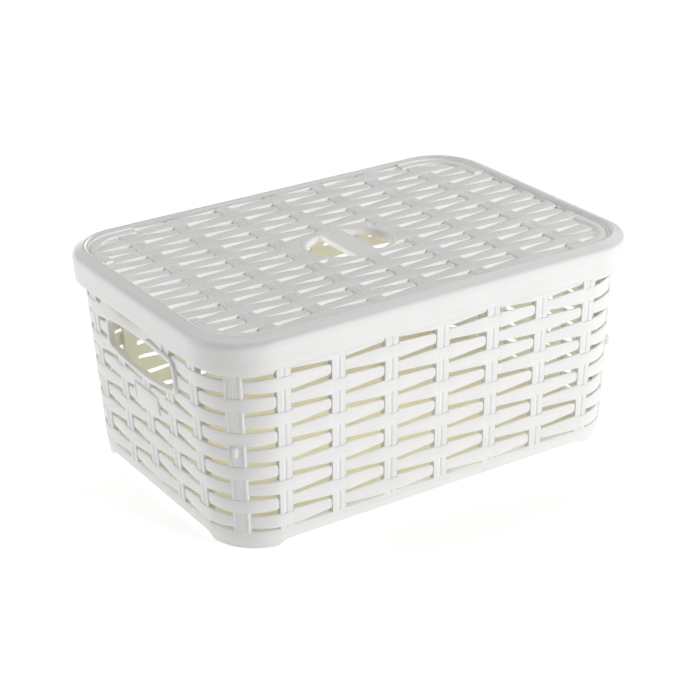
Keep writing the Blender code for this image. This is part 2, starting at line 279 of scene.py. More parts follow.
def bay_length(q):
    """Distance from stake q to the next one."""
    a = wall_point(q, TOP_WEAVER_Z, 0.0)
    mid = wall_point(q + 0.5, TOP_WEAVER_Z, 0.0)
    b = wall_point(q + 1, TOP_WEAVER_Z, 0.0)
    chord = math.dist(a[:2], mid[:2]) + math.dist(mid[:2], b[:2])
    return chord if is_straight(q) else chord * ARC_OVER_CHORD


def is_straight(q):
    return q % HALF_ROUND < 6 or 8 <= q % HALF_ROUND < 12


def is_corner_stake(q):
    return q % STAKES_ROUND in CORNER_STAKES


def is_end_stake(q):
    return 8 <= q <= 12 or 22 <= q <= 26


def stakes_to_corner(q):
    """How many stake spacings lie between q and the nearest corner's stake."""
    return min(abs((q - c + HALF_ROUND) % STAKES_ROUND - HALF_ROUND) for c in CORNER_STAKES)


def stake_half(q):
    return CORNER_STAKE_HALF if is_corner_stake(q) else STAKE_HALF


def row_z(row):
    return TOP_WEAVER_Z - ROW_PITCH * row


def loft_round_walls(shell, stations, rings):
    along = [q * LONG_PITCH for q in stations]
    shell.loft(rings, along + [STAKES_ROUND * LONG_PITCH], closed=True)


# -------- leaf and stake shapes

# A leaf cut by an opening is stepped this finely, and what is lower than this is left out
FINE_STEP = 0.8
LEAST_STRIP = 0.5

# More than any leaf's half height or thickness, so that it limits nothing
NO_LIMIT = 9.0


def leaf_section(low, high, face, thick, edge=0.5, spread=(0.0, 0.0)):
    """Closed section of a leaf as (across, outward) pairs, rounded at its outer edges."""
    half = (high - low) / 2
    mid = (high + low) / 2
    r = min(edge, half * 0.6, thick * 0.6)
    crown = min(0.12, half * 0.04)
    flat = half - r
    points = []
    for share in (-1.0, -0.5, 0.0, 0.5, 1.0):
        points.append((mid + flat * share, face + crown * (1 - share * share)))
    points.append((high - r * 0.29, face - r * 0.29))
    points.append((high + spread[1] * 0.2, face - r))
    points.append((high + spread[1], face - thick))
    points.append((low - spread[0], face - thick))
    points.append((low - spread[0] * 0.2, face - r))
    points.append((low + r * 0.29, face - r * 0.29))
    return points


def half_leaf_stations(shape, reach, over_half, rounded, over_thick=NO_LIMIT):
    """(distance, half height, face, thickness) from the middle of a leaf out to its tip."""
    run = shape.run if rounded else 0.4
    start = reach - run
    flat = [0.0, over_half * 0.6, over_half - 0.1, over_half + 0.02]
    body = [over_half + (start - over_half) * k / 8 for k in range(1, 9)]
    tip = [start + run * k for k in (0.2, 0.4, 0.58, 0.72, 0.84, 0.93, 0.98, 1.0)]
    stations = []
    for s in flat + body + tip:
        share = max(0.0, s - over_half) / (reach - over_half)
        half = shape.half_side + (shape.half_tip - shape.half_side) * share
        if s < over_half:
            half = shape.half_over
        swing = max(0.0, s - 2.0) / (reach - 2.0)
        face = -shape.dip * (1 - math.cos(math.pi * swing)) / 2
        x = max(0.0, s - start) / run
        if x > 0:
            round_off = 1 - math.sqrt(max(0.0, 1 - x * x))
            half -= round_off * ((half - 0.7) * 0.86 if rounded else 0.25)
            face -= shape.drop * round_off * round_off
        thick = min(shape.thick, face - STAKE_BACK)
        if s < over_half + 0.1:
            thick = min(thick, over_thick)
        stations.append((s, half, face, thick))
    return stations


def leaf(shell, shapes, place, reaches, over_half, limit=None, rounded=(True, True)):
    """A leaf along s, centred on its stake, with a shape for each side of it.

    place(s, t, n) gives the point, and limit(s) the lowest and highest t that may be kept, or
    None for nothing. Both sides share the first shape's edge radius and spread.
    """
    edge, spread_most = shapes[0].edge, shapes[0].spread
    left = half_leaf_stations(shapes[0], reaches[0], over_half, rounded[0], shapes[0].thin)
    right = half_leaf_stations(shapes[1], reaches[1], over_half, rounded[1])
    stations = [(-s, h, f, t) for s, h, f, t in left[::-1]] + right[1:]
    if limit:
        fine = []
        for a, b in zip(stations, stations[1:]):
            parts = max(1, int((b[0] - a[0]) / FINE_STEP))
            for k in range(parts):
                w = k / parts
                fine.append(tuple(a[i] + (b[i] - a[i]) * w for i in range(4)))
        stations = fine + [stations[-1]]
    run = []
    runs = []
    for s, half, face, thick in stations:
        low, high = -half, half
        spread = [spread_most, spread_most]
        if limit:
            bounds = limit(s)
            if bounds is None:
                low, high = 0.0, 0.0
            else:
                gaps = (low - bounds[0], bounds[1] - high)
                spread = [min(spread_most, max(0.0, gap)) for gap in gaps]
                low, high = max(low, bounds[0]), min(high, bounds[1])
        if high - low < LEAST_STRIP:
            if len(run) > 2:
                runs.append(run)
            run = []
            continue
        run.append((s, low, high, face, thick, spread))
    if len(run) > 2:
        runs.append(run)
    for run in runs:
        rings = []
        for s, low, high, face, thick, spread in run:
            section = leaf_section(low, high, face, thick, edge, spread)
            rings.append([place(s, t, n) for t, n in section])
        shell.loft(rings, [station[0] for station in run])


def stake_section(half):
    """Closed section of a stake with two ribs, as (along, outward) pairs."""
    f = STAKE_FACE
    right = [
        (0.0, f - 0.5), (0.4, f - 0.42), (0.75, f - 0.05), (1.3, f + 0.08), (2.2, f + 0.05),
        (2.75, f - 0.05), (3.2, f + 0.02), (half - 0.6, f + 0.1), (half - 0.25, f),
        (half, f - 0.35), (half, STAKE_BACK),
    ]
    left = [(-s, n) for s, n in right[1:]]
    return right[::-1] + left


def lid_stake_section(half):
    """Closed section of a lid's stake: a flat strip with two sharp grooves."""
    f = STAKE_FACE + 0.3
    right = [(0.0, f + 0.05), (0.75, f), (1.25, f - 0.42), (1.8, f + 0.05)]
    right += [(half - 1.1, f + 0.1), (half - 0.7, f - 0.22), (half - 0.25, f)]
    right += [(half, f - 0.4), (half, STAKE_BACK)]
    return right[::-1] + [(-s, n) for s, n in right[1:]]


def corner_stake_section(half):
    """The corner's stake: a thin bead at its left, a thick one at its right, ridges between."""
    f = STAKE_FACE + 0.2
    right = [(half + 0.3, STAKE_BACK), (half + 0.3, f - 0.9), (half + 0.1, f - 0.25)]
    right += [(half - 0.4, f + 0.2), (half - 1.1, f + 0.3), (half - 1.7, f + 0.1)]
    right.append((half - 2.1, f - 0.35))
    ridges = []
    s = half - 2.6
    while s > -half + 1.5:
        ridges += [(s, f - 0.1), (s - 0.45, f - 0.32)]
        s -= 0.9
    left = [(-half + 1.2, f - 0.2), (-half + 0.85, f + 0.25), (-half + 0.3, f + 0.25)]
    left += [(-half - 0.1, f - 0.2), (-half - 0.1, STAKE_BACK)]
    return right + ridges + left


def bridge(shell, place, reach):
    """The part of a weaver that passes behind a stake, from -reach to reach along it."""
    rings = []
    along = list(np.linspace(-reach, reach, 5))
    for s in along:
        half = WALL_LEAF.half_tip - 0.5 - 0.5 * (abs(s) / reach) ** 2
        section = leaf_section(-half, half, BRIDGE_FACE, BRIDGE_THICK)
        rings.append([place(s, t, n) for t, n in section])
    shell.loft(rings, along)


def stake(shell, place, spans, section, step=12.0):
    """Upright bars over each (low, high) span. place(s, t, n) gives the point."""
    for low, high in spans:
        count = max(2, int((high - low) / step) + 1)
        levels = [low + (high - low) * k / (count - 1) for k in range(count)]
        rings = [[place(s, t, n) for s, n in section] for t in levels]
        shell.loft(rings, levels)


# -------- hand holes

HOLE_HALF = FRAME_HALF - 3.0
HOLE_LOW_Z = 80.9
HOLE_HIGH_Z = 102.7
HOLE_BOW_LOW = 3.0
HOLE_BOW_HIGH = 2.0
HOLE_CORNER = 4.0
HOLE_MIDDLE_Z = 90.0
FRAME_BAND = 3.0


def hole_sizes(grow):
    """Corner radius, half length between the corners, and lower and upper z at the corners."""
    radius = HOLE_CORNER + grow
    inner = HOLE_HALF - HOLE_CORNER
    return radius, inner, HOLE_LOW_Z + HOLE_BOW_LOW - grow, HOLE_HIGH_Z - HOLE_BOW_HIGH + grow


def hole_outline(grow, steps=10):
    """The hand hole's outline as (y, z), counter-clockwise seen with y to the right."""
    radius, inner, low, high = hole_sizes(grow)
    loop = []

    def arc(y, z, start):
        for k in range(steps + 1):
            a = math.radians(start + 90.0 * k / steps)
            loop.append((y + radius * math.cos(a), z + radius * math.sin(a)))

    def edge(z, bow, direction):
        for k in range(1, 2 * steps):
            w = (2.0 * k / (2 * steps) - 1.0) * direction
            loop.append((w * inner, z + bow * (1 - w * w)))

    arc(inner, low + radius, -90)
    arc(inner, high - radius, 0)
    edge(high, HOLE_BOW_HIGH, -1)
    arc(-inner, high - radius, 90)
    arc(-inner, low + radius, 180)
    edge(low, -HOLE_BOW_LOW, 1)
    return loop


def hole_limits(y, grow):
    """Lowest and highest z of the hand hole at y, or None beside it."""
    if abs(y) >= HOLE_HALF + grow:
        return None
    radius, inner, low, high = hole_sizes(grow)
    if abs(y) <= inner:
        w = y / inner
        return low - HOLE_BOW_LOW * (1 - w * w), high + HOLE_BOW_HIGH * (1 - w * w)
    drop = radius - math.sqrt(max(0.0, radius**2 - (abs(y) - inner) ** 2))
    return low + drop, high - drop


# The header over a hand hole runs from its far end to its near end, and its upper edge sags
# from the far end to SAG_END. The weave above it starts at HEADER_CUT, within CUT_HALF of the
# wall's middle. A slit opens under it. Its y runs to the back at the left end of the basket and to
# the front at the right end.
HEADER_LOW = 104.5
HEADER_HIGH = 111.9
HEADER_SAG = 3.3
HEADER_CUT = 116.5
HEADER_FAR = 47.0
HEADER_NEAR = -28.0
CUT_HALF = 40.0
SAG_END = -13.0
SLIT_START = -27.0
SLIT_LENGTH = 18.0
SLIT_HEIGHT = 2.5


def is_headed(q0, y):
    """Whether the header takes the place of the weave over a hand hole, at y on stake q0's wall."""
    side = 1.0 if q0 > HALF_ROUND else -1.0
    return HEADER_NEAR < y * side < HEADER_FAR - 1.0


def end_limit(q0, left_bay, right_bay, row):
    """What a leaf of an end wall may keep: nothing in the hand hole and its frame."""
    z0 = row_z(row)

    def limit(s):
        q = q0 + (s / right_bay if s > 0 else s / left_bay)
        y = wall_point(q, z0, 0.0)[1]
        hole = hole_limits(y, FRAME_BAND - 1.2)
        low, high = -NO_LIMIT, NO_LIMIT
        if row == -1 and abs(y) < CUT_HALF and is_headed(q0, y):
            low = HEADER_CUT - z0
        if hole:
            if abs(hole[0] - z0) < WALL_LEAF.half_side + 1 and z0 < HOLE_MIDDLE_Z:
                high = hole[0] - z0
            elif hole[0] < z0 < hole[1]:
                return None
            elif z0 > hole[1]:
                low = max(low, hole[1] - z0)
            elif z0 > hole[0]:
                return None
        return low, high

    return limit


def near_hole(q, row):
    return is_end_stake(q) and row in (-1, 0, 1, 2)


# -------- building the basket


def wall_place(q0, row):
    """place(s, t, n) for what is centred on stake q0, and the lengths of the bays beside it."""
    left_bay = bay_length(q0 - 1)
    right_bay = bay_length(q0)
    z0 = row_z(row) if row is not None else 0.0

    def place(s, t, n):
        q = q0 + (s / right_bay if s > 0 else s / left_bay)
        return wall_point(q, z0 + t, n)

    return place, left_bay, right_bay


def leaf_shape(q0, near):
    """The shape of a leaf centred on stake q0, on its side towards the near stake."""
    if (q0 % HALF_ROUND, near % HALF_ROUND) == (6, 7):
        return LAST_LEAF
    if (q0 % HALF_ROUND, near % HALF_ROUND) == (7, 6):
        return TURN_LEAF
    return CORNER_LEAF if is_corner_stake(q0) or is_corner_stake(near) else WALL_LEAF


def add_leaf(shell, q0, row):
    place, left_bay, right_bay = wall_place(q0, row)
    reaches = (left_bay - stake_half(q0 - 1) - 0.05, right_bay - stake_half(q0 + 1) - 0.05)
    rounded = (q0 % HALF_ROUND > 8, q0 % HALF_ROUND < 6 or is_corner_stake(q0))
    limit = end_limit(q0, left_bay, right_bay, row) if near_hole(q0, row) else None
    shapes = [leaf_shape(q0, near) for near in (q0 - 1, q0 + 1)]
    leaf(shell, shapes, place, reaches, stake_half(q0), limit, rounded)


def add_bridge(shell, q0, row):
    """What joins two leaves of a row behind stake q0, left out at a hand hole."""
    if near_hole(q0, row):
        hole = hole_limits(wall_point(q0, row_z(row), 0.0)[1], FRAME_BAND)
        if hole and hole[0] - 3 < row_z(row) < hole[1] + 12:
            return
    place, _, _ = wall_place(q0, row)
    bridge(shell, place, stake_half(q0) + 2.6)


def add_stake(shell, q0):
    place, _, _ = wall_place(q0, None)
    half = stake_half(q0)
    section = corner_stake_section(half) if is_corner_stake(q0) else stake_section(half)
    low, high = BAND_TOP_Z - 1.0, WALL_TOP_Z - 0.5
    spans = [(low, high)]
    hole = None
    if is_end_stake(q0):
        y = wall_point(q0, HOLE_MIDDLE_Z, 0.0)[1]
        hole = hole_limits(y, FRAME_BAND - 1.2)
    if hole:
        above = HEADER_CUT - 1.0 if is_headed(q0, y) else hole[1]
        spans = [(low, hole[0]), (above, high)]
    stake(shell, place, spans, section)


NUB_Z = 62.5


def add_nub(shell, q0):
    """The short rounded nub on a front corner's stake, facing outwards."""
    place, _, _ = wall_place(q0, None)
    rings = []
    along = []
    for t, size in ((-3.6, 0.35), (-3.0, 0.8), (-1.6, 1.0), (0.4, 1.0), (2.2, 0.9), (3.3, 0.4)):
        ring = []
        for k in range(10):
            a = math.tau * k / 10
            ring.append(place(1.5 * size * math.cos(a) - 0.7, NUB_Z + t, 1.9 * size * math.sin(a)))
        rings.append(ring)
        along.append(t)
    shell.loft(rings, along)


def build_weave(stakes):
    """The woven wall, or corner, that these stakes stand in."""
    shell = Shell()
    for q in stakes:
        add_stake(shell, q)
        if q in NUB_STAKES:
            add_nub(shell, q)
        for row in range(-1, LAST_ROW + 1):
            if (q + row) % 2 == 0:
                add_leaf(shell, q, row)
            else:
                add_bridge(shell, q, row)
    return shell


def round_stations():
    """Stake positions round the basket, close together at the corners."""
    stations = []
    for q in range(STAKES_ROUND):
        parts = 2 if is_straight(q) else 8
        stations += [q + k / parts for k in range(parts)]
    return stations


def foot_low(q):
    """Bottom of the base band: down to the ground along each corner's foot."""
    beyond = (stakes_to_corner(q) - FOOT_REACH) * LONG_PITCH * CORNER_SHARE
    share = min(1.0, max(0.0, (FOOT_PAST - beyond) / FOOT_RUN))
    return BAND_LOW_Z * (1 - share * share * (3 - 2 * share))


def base_stations():
    """Stake positions round the basket, close together where the base band runs down to a foot."""
    stations = []
    for q in range(STAKES_ROUND):
        parts = 12 if stakes_to_corner(q + 0.5) < 1.8 else 2
        stations += [q + k / parts for k in range(parts)]
    return stations


def build_base():
    """The stepped band round the foot of the walls, running down to the four corner feet."""
    shell = Shell()
    stations = base_stations()
    rings = []
    for q in stations:
        low = foot_low(q)
        section = [
            (-4.4, BAND_TOP_Z - 0.2), (-4.4, low + 0.4), (-4.0, low), (-1.5, low),
            (-1.05, low + 0.45), (-0.95, BAND_STEP_Z - 0.35), (-0.55, BAND_STEP_Z),
            (-0.45, BAND_TOP_Z - 0.7), (-0.65, BAND_TOP_Z - 0.2), (-1.1, BAND_TOP_Z),
            (-4.0, BAND_TOP_Z),
        ]
        rings.append([wall_point(q, z, n) for n, z in section])
    loft_round_walls(shell, stations, rings)
    return shell


def ring_round_basket(shell, section):
    """Sweep (outward, z) pairs round the walls."""
    stations = round_stations()
    rings = [[wall_point(q, z, n) for n, z in section] for q in stations]
    loft_round_walls(shell, stations, rings)


def build_top_rim():
    """The band that closes the top of the weave, and the bead round it."""
    shell = Shell()
    band_low = WALL_TOP_Z - 3.5
    band_high = BEAD_LOW_Z + 0.4
    band = [(-4.0, band_low), (-1.0, band_low), (-0.5, band_low + 0.4)]
    ring_round_basket(shell, band + [(-0.4, band_high), (-4.0, band_high)])
    bead = [
        (-2.0, BEAD_LOW_Z), (0.7, BEAD_LOW_Z), (1.15, BEAD_LOW_Z + 0.5), (1.15, BEAD_TOP_Z - 1.3),
        (0.75, BEAD_TOP_Z - 0.5), (0.0, BEAD_TOP_Z - 0.05), (-0.9, BEAD_TOP_Z - 0.05),
        (-1.6, BEAD_TOP_Z - 0.5), (-2.0, BEAD_TOP_Z - 1.3),
    ]
    ring_round_basket(shell, bead)
    return shell


def build_floor():
    """The basket's floor, with a cove where it meets the wall."""
    shell = Shell()
    cove = [
        (-4.2, FLOOR_LOW_Z),
        (-4.2, FLOOR_TOP_Z + 2.4),
        (-4.8, FLOOR_TOP_Z + 1.2),
        (-6.2, FLOOR_TOP_Z + 0.35),
        (-8.6, FLOOR_TOP_Z),
        (-20.0, FLOOR_TOP_Z),
    ]
    stations = round_stations()
    rings = []
    for q in stations:
        ring = [wall_point(q, z, n) for n, z in cove]
        x, y, _ = ring[-1]
        ring += [(x * share, y * share, FLOOR_TOP_Z) for share in (0.75, 0.5, 0.25, 0.02)]
        ring += [(x * share, y * share, FLOOR_LOW_Z) for share in (0.02, 0.5)]
        rings.append(ring)
    loft_round_walls(shell, stations, rings)
    return shell


def build_hand_frame(side):
    """The raised frame round a hand hole, from (growth of the hole, outward) pairs."""
    shell = Shell()
    sections = [
        (3.2, 0.2), (3.0, 0.9), (2.4, 1.35), (1.0, 1.45), (0.3, 1.1), (0.0, 0.5), (0.0, -2.0),
        (0.5, -2.7), (3.0, -2.7), (3.2, -2.2),
    ]
    loops = []
    for grow, n in sections:
        loops.append([(side * (half_length(z) + n), y, z) for y, z in hole_outline(grow)])
    close_loft(shell, list(zip(*loops)))
    return shell


def build_header(shell, side):
    """The plain band between a hand hole's frame and the rim, and the slit under it."""
    rings = []
    along = list(np.linspace(HEADER_FAR, HEADER_NEAR, 31))
    for y in along:
        hole = hole_limits(y, FRAME_BAND - 1.0)
        low = max(hole[1] if hole else HEADER_LOW, HEADER_LOW - 2.0)
        share = (y - SLIT_START) / SLIT_LENGTH
        opening = math.sin(math.pi * share) if 0.0 < share < 1.0 else 0.0
        low += SLIT_HEIGHT * min(1.0, 1.5 * opening)
        proud = min(1.0 - 0.9 * opening, max(0.05, (y - HEADER_NEAR) / 8.0))
        u = max(0.0, (y - SAG_END) / (HEADER_FAR - SAG_END))
        high = HEADER_HIGH - HEADER_SAG * (1 - (2 * u - 1) ** 2)
        section = [
            (low, -2.4), (low, 1.0 * proud), (low + 0.3, 1.3 * proud), (low + 1.6, 1.15 * proud),
            ((low + high) / 2 + 0.4, 0.6 * proud), (high - 0.5, 0.3), (high, -0.1), (high, -0.8),
            (low + 2.0, -2.2),
        ]
        rings.append([(side * (half_length(z) + n), y * -side, z) for z, n in section])
    shell.loft(rings, along)


RIB_STEPS = 6
RIB_INSET = 0.8
RIB_FROM_END = 2.6


def build_tag(side):
    """The blank raised tag plate, from (distance from its ends, outward), and the rib on it."""
    shell = Shell()
    profile = [(0.0, 0.1), (0.5, 0.45), (1.2, 0.6)]
    places = [(edge - TAG_HALF, proud) for edge, proud in profile] + [(0.0, 0.6)]
    places += [(TAG_HALF - edge, proud) for edge, proud in profile[::-1]]
    rings = []
    for y, proud in places:
        section = leaf_section(TAG_LOW_Z, TAG_HIGH_Z, proud, proud + 2.6)
        rings.append([(side * (half_length(z) + n), y, z) for z, n in section])
    shell.loft(rings, [y for y, _ in places])
    rings = []
    along = []
    for k in range(RIB_STEPS + 1):
        z = TAG_LOW_Z + RIB_INSET + (TAG_HIGH_Z - TAG_LOW_Z - 2 * RIB_INSET) * k / RIB_STEPS
        r = 0.55 if 0 < k < RIB_STEPS else 0.3
        ring = []
        for turn in range(8):
            a = math.tau * turn / 8
            x = half_length(z) + 0.65 + r * math.cos(a)
            ring.append((side * x, TAG_HALF - RIB_FROM_END + 1.6 * r * math.sin(a), z))
        rings.append(ring)
        along.append(z)
    shell.loft(rings, along)
    return shell


# -------- the lid


def lid_loop(inset, steps=14, straight=10):
    """The lid's outline moved in by inset, counter-clockwise, with points on the sides."""
    radius = LID_CORNER - inset
    cx = LID_X - LID_CORNER
    cy = LID_Y - LID_CORNER
    points = []
    corners = ((cx, cy), (-cx, cy), (-cx, -cy), (cx, -cy))
    for turn, (x0, y0) in enumerate(corners):
        for k in range(steps + 1):
            a = math.pi / 2 * (turn + k / steps)
            points.append((x0 + radius * math.cos(a), y0 + radius * math.sin(a)))
        a = math.pi / 2 * (turn + 1)
        here = (x0 + radius * math.cos(a), y0 + radius * math.sin(a))
        x1, y1 = corners[(turn + 1) % 4]
        there = (x1 + radius * math.cos(a), y1 + radius * math.sin(a))
        for k in range(1, straight):
            w = k / straight
            points.append((here[0] + (there[0] - here[0]) * w, here[1] + (there[1] - here[1]) * w))
    return points


def panel_z(x, y):
    """Height of the lid's panel, which sags towards its middle."""
    fx = 1 - min(1.0, (x / (LID_X - RIM_INSET)) ** 2)
    fy = 1 - min(1.0, (y / (LID_Y - RIM_INSET)) ** 2)
    return PANEL_Z - PANEL_SAG * fx * fy


def lid_sweep(section):
    """A closed band round the lid, of (inset, z) pairs."""
    shell = Shell()
    loops = [[(x, y, z) for x, y in lid_loop(inset)] for inset, z in section]
    close_loft(shell, list(zip(*loops)))
    return shell


def build_skirt():
    """The lid's skirt: two low steps on its outer face."""
    section = [
        (1.6, SKIRT_LOW_Z), (1.1, SKIRT_LOW_Z), (0.75, SKIRT_LOW_Z + 0.4),
        (0.70, SKIRT_LOW_Z + 3.0), (0.45, SKIRT_LOW_Z + 3.25), (0.35, SKIRT_LOW_Z + 10.4),
        (0.1, SKIRT_LOW_Z + 10.7), (0.05, SKIRT_LOW_Z + 13.0), (1.6, SKIRT_LOW_Z + 13.0),
    ]
    return lid_sweep(section)


def build_rim():
    """The lid's rounded rim, from the top of the skirt to its crest."""
    section = [
        (1.9, RIM_LOW_Z), (0.05, RIM_LOW_Z), (0.06, 126.2), (0.18, 127.4), (0.45, 128.3),
        (0.95, 129.05), (1.7, 129.6), (2.6, 130.05), (4.2, 130.75), (5.7, 131.4),
        (6.4, RIM_TOP_Z - 0.15), (6.85, RIM_TOP_Z - 0.03), (6.95, RIM_TOP_Z - 0.9), (7.1, 129.0),
        (6.6, 126.4), (6.4, 129.2), (4.6, 129.2), (2.6, 127.0),
    ]
    return lid_sweep(section)


def build_rim_lip():
    """The thin lip inside the rim's crest, which stands round the woven panel."""
    section = [
        (6.9, RIM_TOP_Z - 1.2), (7.3, RIM_TOP_Z - 1.0), (7.4, RIM_TOP_Z - 0.05),
        (7.7, RIM_TOP_Z - 0.12), (8.1, RIM_TOP_Z - 0.45), (8.5, RIM_TOP_Z - 1.0),
        (8.6, RIM_TOP_Z - 2.0), (8.6, LIP_LOW_Z), (6.9, LIP_LOW_Z),
    ]
    return lid_sweep(section)


def lid_limit(offset, half_across, half, inset):
    """Half the lid's extent along one axis, moved in by inset, at an offset along the other, or
    None past its corners."""
    over = abs(offset) - (half_across - LID_CORNER)
    if over <= 0:
        return half - inset
    radius = LID_CORNER - inset
    if over >= radius:
        return None
    return half - LID_CORNER + math.sqrt(radius**2 - over**2)


def lid_limit_x(y, inset):
    return lid_limit(y, LID_Y, LID_X, inset)


def lid_limit_y(x, inset):
    return lid_limit(x, LID_X, LID_Y, inset)


def in_ring(x, y, grow):
    return (x / (RING_X + grow)) ** 2 + (y / (RING_Y + grow)) ** 2 < 1.0


# How far the leaves run in under the grip's ring
RING_LAP = 1.2


def lid_leaf_limit(stake_x, row_y, at_end):
    """What a leaf of the lid may keep: nothing outside the rim or inside the grip's ring."""

    def limit(s):
        x = stake_x + s
        if at_end:
            end = lid_limit_x(abs(row_y) + 3.0, 9.4)
            if end is None or abs(x) > end:
                return None
        edge = lid_limit_y(x, 7.0)
        if edge is None:
            return None
        low, high = max(-NO_LIMIT, -edge - row_y), min(NO_LIMIT, edge - row_y)
        half_ring = RING_X - RING_LAP
        if abs(x) < half_ring:
            reach = (RING_Y - RING_LAP) * math.sqrt(1 - (x / half_ring) ** 2)
            if row_y > reach:
                low = max(low, reach - row_y)
            elif row_y < -reach:
                high = min(high, -reach - row_y)
            else:
                upper = reach - row_y
                lower = -reach - row_y
                if high > upper and LID_LEAF.half_side > upper:
                    low = max(low, upper)
                elif low < lower and -LID_LEAF.half_side < lower:
                    high = min(high, lower)
                else:
                    return None
        return low, high

    return limit


def lid_place(stake_x, row_y):
    def place(s, t, n):
        x, y = stake_x + s, row_y + t
        return x, y, panel_z(x, y) + n

    return place


def add_lid_leaf(shell, index, row):
    """A leaf of the lid. Of one centred under an end's rim, only the inner half shows."""
    stake_x = index * LONG_PITCH
    row_y = row * LID_ROW_PITCH
    reach = LONG_PITCH - STAKE_HALF - 0.05
    limit = lid_leaf_limit(stake_x, row_y, abs(index) == LID_END_STAKE)
    place = lid_place(stake_x, row_y)
    leaf(shell, (LID_LEAF, LID_LEAF), place, (reach, reach), STAKE_HALF, limit)


def add_lid_bridge(shell, index, row):
    """What joins two leaves of a row behind a stake, left out at the grip and the corners."""
    stake_x = index * LONG_PITCH
    row_y = row * LID_ROW_PITCH
    if in_ring(stake_x, row_y, 6.0):
        return
    place = lid_place(stake_x, row_y)
    reach = STAKE_HALF + 0.4
    edge = lid_limit_y(abs(stake_x) + reach, 6.8)
    if edge is None or abs(row_y) + 3.0 > edge:
        return
    bridge(shell, place, reach)


def add_lid_stake(shell, index):
    stake_x = index * LONG_PITCH
    edge = min(lid_limit_y(stake_x - STAKE_HALF, 7.0), lid_limit_y(stake_x + STAKE_HALF, 7.0))
    spans = [(-edge, edge)]
    if index == 0:
        stop = RING_Y - 1.5
        spans = [(-edge, -stop), (stop, edge)]
    stake(shell, lid_place(stake_x, 0.0), spans, lid_stake_section(STAKE_HALF), step=8.0)


def panel_region(index, row):
    """The CAD node in whose place a stake and row of the lid's panel stand."""
    if abs(index) > 1:
        return "lid_panel_left" if index < 0 else "lid_panel_right"
    if abs(row) > 3:
        return "lid_panel_front" if row < 0 else "lid_panel_back"
    return "lid_grip_surround"


def build_panel(material):
    """The woven panel, one piece for each of its CAD nodes."""
    names = ["lid_panel_" + side for side in ("left", "right", "front", "back")]
    names.append("lid_grip_surround")
    regions = {name: Shell() for name in names}
    for index in range(-LID_END_STAKE, LID_END_STAKE + 1):
        for row in range(-LID_LAST_ROW, LID_LAST_ROW + 1):
            shell = regions[panel_region(index, row)]
            if (index + row) % 2 == 0:
                add_lid_leaf(shell, index, row)
            elif abs(index) < LID_END_STAKE:
                add_lid_bridge(shell, index, row)
    for index in range(1 - LID_END_STAKE, LID_END_STAKE):
        add_lid_stake(regions[panel_region(index, 0)], index)
    for x_side in (-1, 1):
        shell = regions[panel_region(x_side * LID_END_STAKE, 0)]
        for y_side in (-1, 1):
            add_corner_border(shell, x_side, y_side)
        add_end_strip(shell, x_side)
    for name, shell in regions.items():
        shell.make(name + "_weave", "lid", "lid_weave", material, (name,))


def add_end_strip(shell, side):
    """The narrow sunk strip between the ends of the leaves and the rim."""
    inner, outer = LID_X - 10.6, LID_X - 7.9
    rings = []
    levels = list(np.linspace(-BORDER_END_Y - 1.0, BORDER_END_Y + 1.0, 13))
    for y in levels:
        z = panel_z(inner, y)
        section = ((inner, -0.9), (outer, -0.7), (outer, -3.0), (inner, -3.0))
        rings.append([(side * x, y, z + n) for x, n in section])
    shell.loft(rings, levels)


# A corner ledge's section: share of the way from its inner to its outer edge, and height over
# the panel
BORDER_SECTION = (
    (0.0, -3.0), (0.0, -0.1), (0.04, 0.45), (0.10, 0.7), (0.30, 0.8), (0.50, 0.7), (0.57, 0.4),
    (0.59, -0.4), (0.64, -0.5), (0.66, 0.5), (0.69, 1.0), (0.74, 1.2), (0.79, 1.0), (0.82, 0.4),
    (0.83, -0.4), (1.0, -0.4), (1.0, -3.0),
)


def add_corner_border(shell, x_side, y_side):
    """The plain curved ledge inside a corner of the rim, with square ends."""
    outer_r = LID_CORNER - RIM_INSET + 1.2
    inner_r = LID_CORNER - BORDER_INSET
    cx = LID_X - LID_CORNER
    cy = LID_Y - LID_CORNER
    path = []
    for y in np.linspace(BORDER_END_Y, cy, 4)[:-1]:
        path.append(((cx + inner_r, y), (cx + outer_r, y)))
    for k in range(17):
        a = math.pi / 2 * k / 16
        c, s = math.cos(a), math.sin(a)
        path.append(((cx + inner_r * c, cy + inner_r * s), (cx + outer_r * c, cy + outer_r * s)))
    for x in np.linspace(cx, BORDER_END_X, 4)[1:]:
        path.append(((x, cy + inner_r), (x, cy + outer_r)))
    rings = []
    for inner, outer in path:
        ring = []
        for w, n in BORDER_SECTION:
            x = (inner[0] + (outer[0] - inner[0]) * w) * x_side
            y = (inner[1] + (outer[1] - inner[1]) * w) * y_side
            ring.append((x, y, panel_z(x, y) + n))
        rings.append(ring)
    shell.loft(rings, distances(rings))


# The ring's band is a little wider at its front and back than at its ends
RING_STEPS = 72
RING_SIDE_SHARE = 4.7 / 3.9


def build_grip_ring():
    """The oval ring round the grip's two finger holes."""
    shell = Shell()
    section = [
        (0.0, -1.2), (0.25, -0.35), (1.0, 0.0), (2.4, 0.05), (3.4, -0.3), (3.9, -1.1),
        (4.0, -4.3), (3.5, -4.8), (0.4, -4.8), (0.0, -4.4),
    ]
    rings = []
    for k in range(RING_STEPS):
        a = math.tau * k / RING_STEPS
        ring = []
        for inset, n in section:
            x = (RING_X - inset) * math.cos(a)
            y = (RING_Y - inset * RING_SIDE_SHARE) * math.sin(a)
            ring.append((x, y, RING_TOP_Z + n))
        rings.append(ring)
    close_loft(shell, rings)
    return shell


